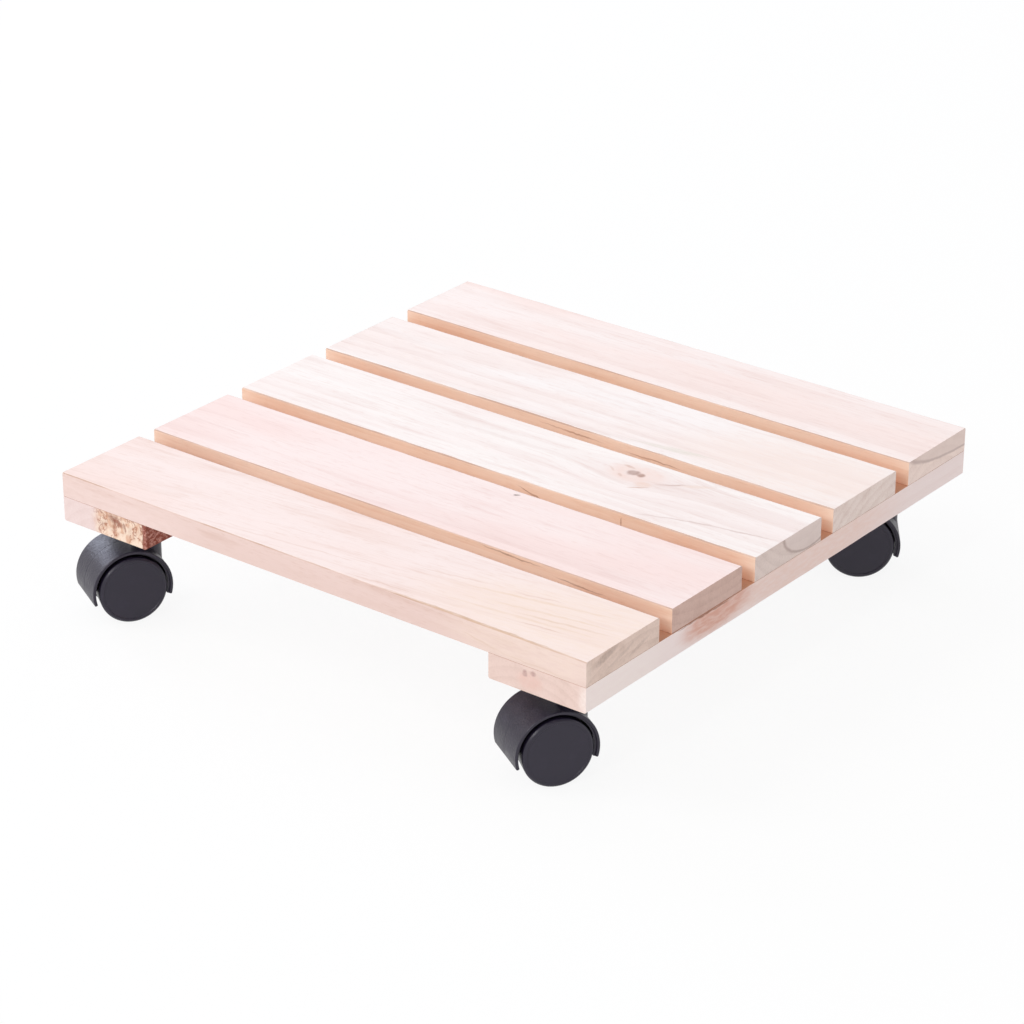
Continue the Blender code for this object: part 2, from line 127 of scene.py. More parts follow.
# Steel pieces
PLATE_CORNER_ROUND = 5.0 * MM
PLATE_EDGE_ROUND = 0.35 * MM
PLATE_HOLE_RADIUS = 2.05 * MM
PLATE_HOLE_MARGIN = 5.0 * MM
PLATE_SCREWS = 4
PIN_HOLE_RADIUS = 4.3 * MM
KINGPIN_RADIUS = 4.0 * MM
KINGPIN_HEAD_RADIUS = 5.5 * MM
KINGPIN_HEAD_DEPTH = 1.4 * MM
KINGPIN_TIP_CHAMFER = 0.6 * MM
COLLAR_RADIUS = 6.0 * MM
COLLAR_TOP_DROP = 2.3 * MM
COLLAR_FOOT_DROP = 3.3 * MM
COLLAR_EDGE_ROUND = 0.3 * MM
SCREW_RADIUS = 1.75 * MM
SCREW_POINT = 3.0 * MM
SCREW_TURN = 0.83
PAN_HEAD_RADIUS = 3.3 * MM
PAN_HEAD_HEIGHT = 2.0 * MM
PAN_HEAD_ROUND = 1.2 * MM
FLAT_HEAD_RADIUS = 3.5 * MM
FLAT_HEAD_RIM = 0.25 * MM
RECESS_WIDTH = 0.85 * MM
RECESS_SPAN = 3.4 * MM
RECESS_DEPTH = 1.2 * MM
RECESS_TAPER = (0.45, 0.7, 1.0)

# Finishes
DECK_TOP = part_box("slat_1")[1].z / MM
MARK_DEPTH = 6.0 * MM
# The walls' painted shade darkens them towards WALL_FOOT, over FOOT_RISE.
WALL_FOOT = 59.0 * MM
FOOT_RISE = 9.0 * MM
WHITE = (1.0, 1.0, 1.0, 1.0)

# Facets
ARC_STEPS = 64
TURN_STEPS = 96
PIN_STEPS = 40
WELD = 0.002 * MM
FACING = 0.9
SQUARE_ANGLE = math.radians(80)
SHARP_ANGLE = math.radians(38)

# Camera and light
CAMERA_PLACE = (0.90657, -1.17971, 0.75232)
CAMERA_AZIMUTH = math.radians(37.693)
CAMERA_ELEVATION = math.radians(25.636)
CAMERA_ROLL = math.radians(0.216)
CAMERA_LENS = 123.52
CAMERA_SENSOR = 36.0
CAMERA_NEAR = 0.05
CAMERA_FAR = 50.0
LAMPS = {
    "key": {"place": (-4.4, -3.2, 4.8), "size": 3.0, "power": 152.0},
    "side": {"place": (-3.2, 0.7, 1.6), "size": 1.8, "power": 42.0, "colour": (0.76, 0.82, 1.0)},
    "front": {"place": (0.3, -2.6, 1.6), "size": 0.35, "power": 14.0},
}
WORLD_STRENGTH = 0.66
FLOOR_SIZE = 12.0
FLOOR_COLOUR = (0.95, 0.95, 0.95, 1.0)
FLOOR_GLOW = 0.9


# Meshes


def linked(name, data):
    """A new object in the scene for a mesh, a lamp or a camera."""
    made = bpy.data.objects.new(name, data)
    bpy.context.scene.collection.objects.link(made)
    return made


def mesh_of(name, shape):
    """The mesh of a bmesh, which is freed."""
    mesh = bpy.data.meshes.new(name)
    shape.to_mesh(mesh)
    shape.free()
    return mesh


def helper_object(name, shape):
    """A short-lived object for a cut or a join."""
    return linked(name, mesh_of(name, shape))


def new_piece(name, mesh, body, nodes, finish):
    """A finished piece: it rides on a body and stands for CAD nodes."""
    mesh.shade_smooth()
    mesh.set_sharp_from_angle(angle=SHARP_ANGLE)
    mesh.materials.clear()
    mesh.materials.append(finish)
    piece = linked(name, mesh)
    evened = piece.modifiers.new("even shading", "WEIGHTED_NORMAL")
    evened.keep_sharp = True
    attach(piece, body)
    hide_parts(*nodes)


def combined(base, others):
    """The mesh of a base object joined with or cut by other objects, which are all removed."""
    for operation, other in others:
        modifier = base.modifiers.new(other.name, "BOOLEAN")
        modifier.object = other
        modifier.operation = operation
        modifier.solver = "EXACT"
    bpy.context.view_layer.update()
    graph = bpy.context.evaluated_depsgraph_get()
    mesh = bpy.data.meshes.new_from_object(base.evaluated_get(graph))
    for _, other in others:
        bpy.data.objects.remove(other, do_unlink=True)
    bpy.data.objects.remove(base, do_unlink=True)
    return mesh


def shift(shape, by):
    bmesh.ops.translate(shape, vec=by, verts=shape.verts)


def rotate(shape, verts, angle, axis):
    bmesh.ops.rotate(shape, cent=(0, 0, 0), matrix=Matrix.Rotation(angle, 3, axis), verts=verts)


def rounded(shape, geometry, width, segments, affect="EDGES"):
    """Rounds edges, or the corners of a flat shape."""
    bmesh.ops.bevel(
        shape,
        geom=geometry,
        offset=width,
        offset_type="OFFSET",
        segments=segments,
        profile=0.5,
        affect=affect,
        clamp_overlap=True,
        material=-1,
    )


def box_shape(size):
    """A box about the origin."""
    shape = bmesh.new()
    bmesh.ops.create_cube(shape, size=1.0)
    bmesh.ops.scale(shape, vec=size, verts=shape.verts)
    return shape


def turned(profile, steps=PIN_STEPS):
    """A closed solid spun about Z from a chain of (radius, height) points from axis to axis."""
    shape = bmesh.new()
    verts = [shape.verts.new((radius, 0.0, height)) for radius, height in profile]
    edges = [shape.edges.new(pair) for pair in zip(verts, verts[1:])]
    bmesh.ops.spin(
        shape,
        geom=verts + edges,
        cent=(0, 0, 0),
        axis=(0, 0, 1),
        angle=math.tau,
        steps=steps,
        use_merge=True,
    )
    bmesh.ops.remove_doubles(shape, verts=shape.verts, dist=WELD)
    bmesh.ops.recalc_face_normals(shape, faces=shape.faces)
    return shape


def rod(radius, low, high, steps=PIN_STEPS):
    return turned([(0, high), (radius, high), (radius, low), (0, low)], steps)


def ring_edges(shape, radius, height):
    """The edges of a turned solid that run round it at one point of its profile."""
    found = []
    for edge in shape.edges:
        gaps = [math.hypot(vert.co.x, vert.co.y) - radius for vert in edge.verts]
        gaps += [vert.co.z - height for vert in edge.verts]
        if max(abs(gap) for gap in gaps) < 10 * WELD:
            found.append(edge)
    return found


def long_edges(shape, axis, length):
    """The edges that run further than a length along an axis."""
    found = []
    for edge in shape.edges:
        start, stop = (vert.co[axis] for vert in edge.verts)
        if abs(start - stop) > length:
            found.append(edge)
    return found


def rim_edges(shape, axis):
    """The edges round the flat faces that look along an axis."""
    found = []
    for edge in shape.edges:
        flat = [face for face in edge.link_faces if abs(face.normal[axis]) > FACING]
        if len(flat) == 1:
            found.append(edge)
    return found


def laid_along_axle(shape):
    """Turns a solid made about Z so that its top points to -Y."""
    rotate(shape, shape.verts, math.pi / 2, "X")


def placed(mesh, matrix):
    copy = mesh.copy()
    copy.transform(matrix)
    return copy


# Wood pieces


def plank(node, along):
    """A sawn plank in its node's box.

    The arrises that show are rounded and worn, and those in the seam are sharp.
    A batten reaches up into the gap under the slats, so that the slats lie on it without a dark joint.
    """
    low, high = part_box(node)
    shown = high.z
    if node in BATTENS:
        high.z += SEAM_FILL
        shown = low.z
    if node == SHORT_SLAT:
        high.x -= SHORT_BY
    half_length = (high - low)[along] / 2
    shape = box_shape(high - low)
    shift(shape, (low + high) / 2)
    for width, segments, worn in ((ARRIS_ROUND, 3, True), (SEAM_ROUND, 2, False)):
        arrises = [edge for edge in long_edges(shape, along, half_length) if edge.is_manifold]
        sharp = [edge for edge in arrises if edge.calc_face_angle() > SQUARE_ANGLE]
        chosen = [edge for edge in sharp if (abs(edge.verts[0].co.z - shown) < WELD) == worn]
        rounded(shape, chosen, width, segments)
    rounded(shape, rim_edges(shape, along), END_ROUND, 2)
    grain_edges = long_edges(shape, along, half_length)
    bmesh.ops.subdivide_edges(shape, edges=grain_edges, cuts=GRAIN_CUTS, use_grid_fill=True)
    wear_arrises(shape, low, high, along, shown)
    return shape


def wear_arrises(shape, low, high, along, shown):
    """Draws the long arrises at one height in by a varying amount, towards the middle of the plank."""
    middle = (low + high) / 2
    across = [axis for axis in range(3) if axis != along]
    for vert in shape.verts:
        edge_gap = [min(vert.co[axis] - low[axis], high[axis] - vert.co[axis]) for axis in across]
        if max(edge_gap) > ARRIS_ROUND or abs(vert.co.z - shown) > ARRIS_ROUND:
            continue
        wear = ARRIS_WEAR * (0.5 + 0.5 * noise.noise(vert.co / WEAR_LENGTH))
        for axis in across:
            vert.co[axis] += math.copysign(wear, middle[axis] - vert.co[axis])


def cut_end(shape, low, high, normal, cuts):
    """Cuts a batten's front end into strips."""
    for cut in range(1, cuts):
        ends = [face for face in shape.faces if face.normal.y < -FACING]
        edges = dict.fromkeys(edge for face in ends for edge in face.edges)
        verts = dict.fromkeys(vert for face in ends for vert in face.verts)
        bmesh.ops.bisect_plane(
            shape,
            geom=[*verts, *edges, *ends],
            plane_co=low.lerp(high, cut / cuts),
            plane_no=normal,
        )


def tear_end(shape, low, high):
    """Roughens the inner half of a batten's front end, where the saw tore the fibres out."""
    cut_end(shape, low, high, (1, 0, 0), TORN_CUTS_ACROSS)
    cut_end(shape, low, high, (0, 0, 1), TORN_CUTS_UP)
    for vert in shape.verts:
        share = (vert.co.x - low.x) / (high.x - low.x)
        height = (vert.co.z - low.z) / (high.z - low.z)
        if vert.co.y > low.y + WELD or share < TORN_FROM:
            continue
        inside = min(1 - share, share - TORN_FROM, height / TORN_ASPECT, (1 - height) / TORN_ASPECT)
        place = Vector((vert.co.x, 0.0, vert.co.z * TORN_STRETCH)) / TORN_CHIP
        chip = noise.fractal(place, 0.8, 2.1, 4)
        vert.co.y += TORN_DEPTH * max(0.0, TORN_LEVEL + chip) * min(1.0, inside / TORN_FADE)


def add_wood(finishes):
    for node in SLATS + BATTENS:
        shape = plank(node, 0 if node in SLATS else 1)
        if node == TORN_BATTEN:
            tear_end(shape, *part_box(node))
        name = f"{node}_plank"
        new_piece(name, mesh_of(name, shape), "deck", [node], finishes[node])


# Caster pieces


def wheel_shape():
    """A cup-shaped wheel on the -Y side of the caster, its face stepped down inside the rim."""
    depth = WHEEL_OUTER_FACE - FACE_THICKNESS
    face_edge = (WHEEL_RADIUS - WHEEL_CHAMFER, WHEEL_OUTER_FACE)
    tread_edge = (WHEEL_RADIUS, WHEEL_OUTER_FACE - WHEEL_CHAMFER)
    inner_edge = (WHEEL_RADIUS - WHEEL_TAPER, WHEEL_INNER_RIM)
    profile = [
        (0, WHEEL_OUTER_FACE - FACE_STEP),
        (FACE_STEP_RADIUS - FACE_STEP, WHEEL_OUTER_FACE - FACE_STEP),
        (FACE_STEP_RADIUS, WHEEL_OUTER_FACE),
        face_edge,
        tread_edge,
        (WHEEL_RADIUS, WHEEL_OUTER_FACE - 2 * WHEEL_CHAMFER),
        inner_edge,
        (WHEEL_RADIUS - RIM_THICKNESS, WHEEL_INNER_RIM),
        (WHEEL_RADIUS - RIM_THICKNESS, depth),
        (HUB_RADIUS, depth),
        (HUB_RADIUS, HUB_END),
        (BORE_RADIUS, HUB_END),
        (BORE_RADIUS, depth),
        (0, depth),
    ]
    shape = turned(profile, TURN_STEPS)
    for edge in (face_edge, tread_edge, inner_edge):
        rounded(shape, ring_edges(shape, *edge), WHEEL_EDGE_ROUND, 3)
    laid_along_axle(shape)
    return shape


def spun_edge(shape, near, far, start, turn):
    """A flat band in the XZ plane: an edge from one radius to another, spun about the axle."""
    ends = [shape.verts.new((radius, 0.0, 0.0)) for radius in (near, far)]
    edge = shape.edges.new(ends)
    rotate(shape, ends, -start, "Y")
    bmesh.ops.spin(
        shape,
        geom=ends + [edge],
        cent=(0, 0, 0),
        axis=(0, -1, 0),
        angle=turn,
        steps=ARC_STEPS,
    )


def thickened(shape, width):
    """Pulls a flat band in the XZ plane out to both sides of it."""
    pulled = bmesh.ops.extrude_face_region(shape, geom=shape.faces[:])
    moved = [item for item in pulled["geom"] if isinstance(item, bmesh.types.BMVert)]
    bmesh.ops.translate(shape, vec=(0, width, 0), verts=moved)
    shift(shape, (0, -width / 2, 0))
    bmesh.ops.recalc_face_normals(shape, faces=shape.faces)


def hood_shell():
    """The curved cover, its ends half round, its lips rounded and a mould line round its middle."""
    shape = bmesh.new()
    turn = math.pi + HOOD_LEAD_DROP + HOOD_TRAIL_DROP
    spun_edge(shape, HOOD_INNER, HOOD_OUTER, -HOOD_LEAD_DROP, turn)
    corners = [vert for vert in shape.verts if len(vert.link_edges) == 2]
    rounded(shape, corners, HOOD_END_ROUND, 5, "VERTICES")
    thickened(shape, HOOD_WIDTH)
    rounded(shape, rim_edges(shape, 1), HOOD_LIP_ROUND, 3)
    mark_parting_line(shape)
    return shape


def mark_parting_line(shape):
    for share in PARTING_CUTS:
        bmesh.ops.bisect_plane(
            shape,
            geom=shape.verts[:] + shape.edges[:] + shape.faces[:],
            plane_co=(0, share * PARTING_WIDTH, 0),
            plane_no=(0, 1, 0),
        )
    for vert in shape.verts:
        radius = math.hypot(vert.co.x, vert.co.z)
        if abs(vert.co.y) < WELD and radius > HOOD_OUTER - PARTING_DEPTH:
            shrink = 1 - PARTING_DEPTH / radius
            vert.co.x *= shrink
            vert.co.z *= shrink


def hood_cheek():
    """The thicker leading side of the cover, set back behind its lips.

    It is blunt at its end and thins upwards, into the cover.
    """
    shape = bmesh.new()
    spun_edge(shape, CHEEK_INNER, HOOD_INNER + CHEEK_OVERLAP, -HOOD_LEAD_DROP, CHEEK_TURN)
    thinning = (HOOD_INNER + CHEEK_TOP_OVERLAP - CHEEK_INNER) / CHEEK_INNER
    for vert in shape.verts:
        angle = math.atan2(vert.co.z, vert.co.x) + HOOD_LEAD_DROP
        if vert.co.length < HOOD_INNER:
            vert.co *= 1 + thinning * angle / CHEEK_TURN
    corners = [vert for vert in shape.verts if len(vert.link_edges) == 2 and vert.co.z < 0]
    inner = min(corners, key=lambda vert: vert.co.length)
    rounded(shape, [inner], CHEEK_END_ROUND, 5, "VERTICES")
    thickened(shape, HOOD_WIDTH - 2 * CHEEK_SETBACK)
    return shape


def hood_web():
    """The wall between the wheels."""
    shape = bmesh.new()
    spun_edge(shape, WEB_HOLE_RADIUS, HOOD_JOIN, -WEB_DROP, math.pi + 2 * WEB_DROP)
    thickened(shape, WEB_THICKNESS)
    return shape


def hood_boss():
    half = BOSS_WIDTH / 2
    shape = rod(BOSS_RADIUS, -half, half)
    for height in (half, -half):
        rounded(shape, ring_edges(shape, BOSS_RADIUS, height), BOSS_EDGE_ROUND, 2)
    laid_along_axle(shape)
    return shape


def hood_neck():
    """The swivel neck, which stands on the cover over its leading side."""
    shape = rod(NECK_RADIUS, 0, NECK_TOP)
    rounded(shape, ring_edges(shape, NECK_RADIUS, NECK_TOP), NECK_EDGE_ROUND, 3)
    shift(shape, (SWIVEL_OFFSET, 0, 0))
    well = rod(HOOD_JOIN, -HOOD_WIDTH, HOOD_WIDTH, 2 * ARC_STEPS)
    laid_along_axle(well)
    return combined(helper_object("neck", shape), [("DIFFERENCE", helper_object("wheel_well", well))])


def hood_mesh():
    """The one-piece hood moulding, about the axle."""
    neck = linked("neck", hood_neck())
    socket = rod(SOCKET_RADIUS, SOCKET_BOTTOM, 2 * NECK_TOP)
    shift(socket, (SWIVEL_OFFSET, 0, 0))
    bore = rod(BORE_RADIUS, -BOSS_WIDTH, BOSS_WIDTH)
    laid_along_axle(bore)
    return combined(
        helper_object("hood", hood_shell()),
        [
            ("UNION", helper_object("cheek", hood_cheek())),
            ("UNION", helper_object("web", hood_web())),
            ("UNION", helper_object("boss", hood_boss())),
            ("UNION", neck),
            ("DIFFERENCE", helper_object("socket", socket)),
            ("DIFFERENCE", helper_object("bore", bore)),
        ],
    )


def caster_places():
    """Each corner's matrix from the caster's own frame, read from its wheel joint."""
    joints = {joint["name"]: joint for joint in frame["joints"]}
    places = {}
    for corner in CORNERS:
        joint = joints[f"{corner}_wheel_1_roll"]
        sideways = Vector(joint["axis"])
        forward = sideways.cross(Vector((0, 0, 1)))
        turn = Matrix((forward, sideways, (0, 0, 1))).transposed()
        places[corner] = Matrix.Translation(joint["pos_m"]) @ turn.to_4x4()
    return places


def add_casters(finishes):
    hood = hood_mesh()
    wheel = mesh_of("wheel", wheel_shape())
    half_turn = Matrix.Rotation(math.pi, 4, "Z")
    for corner, place in caster_places().items():
        new_piece(
            f"{corner}_hood_moulding",
            placed(hood, place),
            f"{corner}_swivel",
            [f"{corner}_hood"],
            finishes["hood"],
        )
        for number, turn in ((1, Matrix.Identity(4)), (2, half_turn)):
            body = f"{corner}_wheel_{number}"
            mesh = placed(wheel, place @ turn)
            new_piece(f"{body}_moulding", mesh, body, [body], finishes["wheel"])


# Steel pieces


def plate_mesh(node):
    """The stamped plate in its node's box, with its screw holes and the kingpin's hole."""
    low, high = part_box(node)
    size = high - low
    middle = (low + high) / 2
    shape = box_shape(size)
    rounded(shape, long_edges(shape, 2, size.z / 2), PLATE_CORNER_ROUND, 8)
    rounded(shape, rim_edges(shape, 2), PLATE_EDGE_ROUND, 2)
    shift(shape, middle)
    half = size.x / 2 - PLATE_HOLE_MARGIN
    holes = [(PIN_HOLE_RADIUS, 0.0, 0.0)]
    holes += [(PLATE_HOLE_RADIUS, x, y) for x in (-half, half) for y in (-half, half)]
    cuts = []
    for radius, x, y in holes:
        cut = rod(radius, -size.z, size.z)
        shift(cut, middle + Vector((x, y, 0)))
        cuts.append(("DIFFERENCE", helper_object("plate_hole", cut)))
    return combined(helper_object("plate", shape), cuts)


def recess_cuts(height):
    """The two cuts of a cross-shaped driver recess, which narrows into the head."""
    cuts = []
    for turn in (0.0, math.pi / 2):
        shape = box_shape((RECESS_SPAN, RECESS_WIDTH, 2 * RECESS_DEPTH))
        inner = [vert for vert in shape.verts if vert.co.z > 0]
        bmesh.ops.scale(shape, vec=RECESS_TAPER, verts=inner)
        rotate(shape, shape.verts, turn, "Z")
        shift(shape, (0, 0, height))
        cuts.append(("DIFFERENCE", helper_object("recess", shape)))
    return cuts


def pan_screw_mesh(length):
    """A pan-head wood screw, point up, the underside of its head at z = 0."""
    profile = [
        (0, length),
        (SCREW_RADIUS, length - SCREW_POINT),
        (SCREW_RADIUS, 0),
        (PAN_HEAD_RADIUS, 0),
        (PAN_HEAD_RADIUS, -PAN_HEAD_HEIGHT),
        (0, -PAN_HEAD_HEIGHT),
    ]
    shape = turned(profile)
    rounded(shape, ring_edges(shape, PAN_HEAD_RADIUS, -PAN_HEAD_HEIGHT), PAN_HEAD_ROUND, 4)
    return combined(helper_object("pan_screw", shape), recess_cuts(-PAN_HEAD_HEIGHT))


def flat_screw_mesh(length):
    """A countersunk wood screw, point up, its flat head at z = 0."""
    profile = [
        (0, length),
        (SCREW_RADIUS, length - SCREW_POINT),
        (SCREW_RADIUS, FLAT_HEAD_RADIUS - SCREW_RADIUS),
        (FLAT_HEAD_RADIUS, FLAT_HEAD_RIM),
        (FLAT_HEAD_RADIUS, 0),
        (0, 0),
    ]
    return combined(helper_object("flat_screw", turned(profile)), recess_cuts(0.0))


def kingpin_shape(node):
    """The swivel pin with its collar, in its node's box."""
    low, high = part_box(node)
    top = high.z - low.z
    collar_top = top - COLLAR_TOP_DROP
    collar_foot = top - COLLAR_FOOT_DROP
    profile = [
        (0, top),
        (KINGPIN_HEAD_RADIUS, top),
        (KINGPIN_RADIUS, top - KINGPIN_HEAD_DEPTH),
        (KINGPIN_RADIUS, collar_top),
        (COLLAR_RADIUS, collar_top),
        (COLLAR_RADIUS, collar_foot),
        (KINGPIN_RADIUS, collar_foot),
        (KINGPIN_RADIUS, KINGPIN_TIP_CHAMFER),
        (KINGPIN_RADIUS - KINGPIN_TIP_CHAMFER, 0),
        (0, 0),
    ]
    shape = turned(profile)
    for height in (collar_top, collar_foot):
        rounded(shape, ring_edges(shape, COLLAR_RADIUS, height), COLLAR_EDGE_ROUND, 2)
    middle = (low + high) / 2
    shift(shape, (middle.x, middle.y, low.z))
    return shape


def add_steel_piece(node, mesh, finish):
    new_piece(f"{node}_steel", mesh, "deck", [node], finish)


def add_screws(nodes, mesh, head, finish):
    """Copies one screw to each node's place, each turned further than the last.

    head is how far the screw reaches down below its own zero.
    """
    for number, node in enumerate(nodes):
        low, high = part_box(node)
        middle = (low + high) / 2
        place = Matrix.Translation((middle.x, middle.y, low.z + head))
        place = place @ Matrix.Rotation(number * SCREW_TURN, 4, "Z")
        add_steel_piece(node, placed(mesh, place), finish)


def numbered(names, count):
    return [f"{name}_{number}" for name in names for number in range(1, count + 1)]


def add_steel(finish):
    plate_screws = numbered([f"{corner}_plate_screw" for corner in CORNERS], PLATE_SCREWS)
    slat_screws = numbered([f"slat_screw_{side}" for side in SIDES], len(SLATS))
    low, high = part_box(plate_screws[0])
    pan_screw = pan_screw_mesh(high.z - low.z - PAN_HEAD_HEIGHT)
    add_screws(plate_screws, pan_screw, PAN_HEAD_HEIGHT, finish)
    low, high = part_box(slat_screws[0])
    add_screws(slat_screws, flat_screw_mesh(high.z - low.z), 0.0, finish)
    for corner in CORNERS:
        plate = f"{corner}_plate"
        add_steel_piece(plate, plate_mesh(plate), finish)
        pin = f"{corner}_kingpin"
        add_steel_piece(pin, mesh_of(f"{pin}_steel", kingpin_shape(pin)), finish)
        frame["nodes"][f"{corner}_axle"].data.materials[0] = finish


# Materials


def tone(red, green, blue):
    """A colour given as it looks on a screen, 0 to 255, as the shader's linear colour."""
    shares = [value / 255 for value in (red, green, blue)]
    linear = [s / 12.92 if s <= 0.04045 else ((s + 0.055) / 1.055) ** 2.4 for s in shares]
    return (*linear, 1.0)


def new_finish(name):
    finish = bpy.data.materials.new(name)
    finish.use_nodes = True
    tree = finish.node_tree
    return finish, tree, tree.nodes["Principled BSDF"]


def feed(tree, made, inputs):
    """Sets a node's inputs to numbers or colours, or links other nodes' outputs to them."""
    for key, value in inputs.items():
        if isinstance(value, bpy.types.NodeSocket):
            tree.links.new(value, made.inputs[key])
        else:
            made.inputs[key].default_value = value


def add_node(tree, kind, inputs=None, **settings):
    made = tree.nodes.new(kind)
    for key, value in settings.items():
        setattr(made, key, value)
    feed(tree, made, inputs or {})
    return made


def maths(tree, operation, first, second=0.0, clamp=False):
    inputs = {0: first, 1: second}
    return add_node(tree, "ShaderNodeMath", inputs, operation=operation, use_clamp=clamp).outputs[0]


def plus(tree, first, second, clamp=False):
    return maths(tree, "ADD", first, second, clamp)


def times(tree, first, second):
    return maths(tree, "MULTIPLY", first, second)


def apart(tree, value, level):
    """How far a value is from a level, up or down."""
    return maths(tree, "ABSOLUTE", maths(tree, "SUBTRACT", value, level))


def vector_maths(tree, operation, *terms):
    inputs = dict(enumerate(terms))
    return add_node(tree, "ShaderNodeVectorMath", inputs, operation=operation).outputs[0]


def blended(tree, factor, first, second):
    inputs = {"Factor": factor, 6: first, 7: second}
    return add_node(tree, "ShaderNodeMix", inputs, data_type="RGBA").outputs[2]


def ranged(tree, value, low, high, to_low=0.0, to_high=1.0):
    inputs = {"Value": value, "From Min": low, "From Max": high, "To Min": to_low, "To Max": to_high}
    made = add_node(tree, "ShaderNodeMapRange", inputs, interpolation_type="SMOOTHSTEP")
    return made.outputs["Result"]


def stretched(tree, coords, scale, place=(0, 0, 0), turn=(0, 0, 0)):
    inputs = {"Vector": coords, "Scale": scale, "Location": place, "Rotation": turn}
    return add_node(tree, "ShaderNodeMapping", inputs).outputs["Vector"]


def mottle(tree, coords, scale, detail, rough):
    """Noise from 0 to 1 over coordinates that are first stretched."""
    inputs = {
        "Vector": stretched(tree, coords, scale),
        "Scale": 1.0,
        "Detail": detail,
        "Roughness": rough,
    }
    return add_node(tree, "ShaderNodeTexNoise", inputs).outputs["Fac"]


def patch(tree, coords, centre, radii, turn=(0, 0, 0)):
    """A soft spot: 1 in its middle, 0 from its edge on."""
    inputs = {"Vector": coords, "Location": centre, "Rotation": turn, "Scale": radii}
    mapping = add_node(tree, "ShaderNodeMapping", inputs, vector_type="TEXTURE")
    inputs = {"Vector": mapping.outputs["Vector"]}
    return add_node(tree, "ShaderNodeTexGradient", inputs, gradient_type="SPHERICAL").outputs["Fac"]


def warped(tree, coords, scale, reach):
    """Coordinates pushed about by noise, so that what is laid out on them gets wavering outlines."""
    waver = add_node(tree, "ShaderNodeTexNoise", {"Vector": coords, "Scale": scale, "Detail": 2.0})
    centred = vector_maths(tree, "ADD", coords, (-reach, -reach, -reach))
    return vector_maths(tree, "MULTIPLY_ADD", waver.outputs["Color"], [2 * reach] * 3, centred)


def parted(tree, coords, centre, radii):
    """Coordinates drawn in across the grain round a knot, so that the grain parts round it."""
    pull = vector_maths(tree, "SUBTRACT", centre, coords)
    near = times(tree, ranged(tree, patch(tree, coords, centre, radii), 0.0, 1.0), 0.8)
    share = add_node(tree, "ShaderNodeCombineXYZ", {"Y": near}).outputs[0]
    return vector_maths(tree, "MULTIPLY_ADD", pull, share, coords)


def torn_end(centre, radii):
    """A touch for end grain that the saw tore: cream and tan shreds with thin reddish-brown cracks."""

    def touch(tree, place, colour, end):
        bent = warped(tree, place, 420.0, 1.4 * MM)
        shreds = mottle(tree, bent, (300, 300, 220), 3.0, 0.6)
        torn = blended(tree, ranged(tree, shreds, 0.4, 0.62), tone(244, 220, 200), tone(222, 180, 154))
        split = apart(tree, mottle(tree, bent, (210, 210, 110), 2.0, 0.6), 0.5)
        torn = blended(tree, ranged(tree, split, 0.0, 0.04, 0.75, 0.0), torn, tone(168, 102, 78))
        spot = patch(tree, warped(tree, place, 300.0, 2.5 * MM), centre, radii)
        return blended(tree, times(tree, ranged(tree, spot, 0.0, 0.4), end), colour, torn)

    return touch


def end_arc(centre, radii, line, inside):
    """A touch for a right end: one ring shows as a dark arc, greyer inside.

    Its centre and its radii along Y and Z are in mm.
    """

    def touch(tree, place, colour, end):
        sizes = (1.0, 2 * radii[0] * MM, 2 * radii[1] * MM)
        spot = patch(tree, warped(tree, place, 260.0, 0.4 * MM), Vector(centre) * MM, sizes)
        within = times(tree, ranged(tree, spot, 0.48, 0.54, 0.0, 0.6), end)
        colour = blended(tree, within, colour, inside)
        rim = ranged(tree, apart(tree, spot, 0.52), 0.0, 0.04, 0.6, 0.0)
        return blended(tree, times(tree, rim, end), colour, line)

    return touch


def red_stain_and_shade(centre, radii):
    """A touch for a dark red, flecked stain, which also paints the shade under the deck."""

    def touch(tree, place, colour, end):
        flecks = mottle(tree, place, (600, 380, 600), 3.0, 0.7)
        stain = blended(tree, ranged(tree, flecks, 0.42, 0.66), tone(134, 68, 54), tone(200, 146, 132))
        return blended(tree, ranged(tree, patch(tree, place, centre, radii), 0.0, 0.4), colour, stain)

    return touch


def bump(tree, shader, height, distance, strength):
    inputs = {"Height": height, "Distance": distance, "Strength": strength}
    feed(tree, shader, {"Normal": add_node(tree, "ShaderNodeBump", inputs).outputs["Normal"]})


def growth_rings(tree, coords, pith, gap):
    """Growth rings about a pith that runs along the grain, wandering with its length."""
    inputs = {
        "Vector": stretched(tree, coords, (0.05, 1.0, 1.0), (0.0, -pith[0], -pith[1])),
        "Scale": math.pi / 10 / gap,
        "Distortion": 2.2,
        "Detail": 3.0,
        "Detail Scale": 0.35,
        "Detail Roughness": 0.55,
    }
    kind = {"wave_type": "RINGS", "rings_direction": "X", "wave_profile": "SAW"}
    made = add_node(tree, "ShaderNodeTexWave", inputs, **kind)
    return ranged(tree, made.outputs["Fac"], 0.25, 0.95)


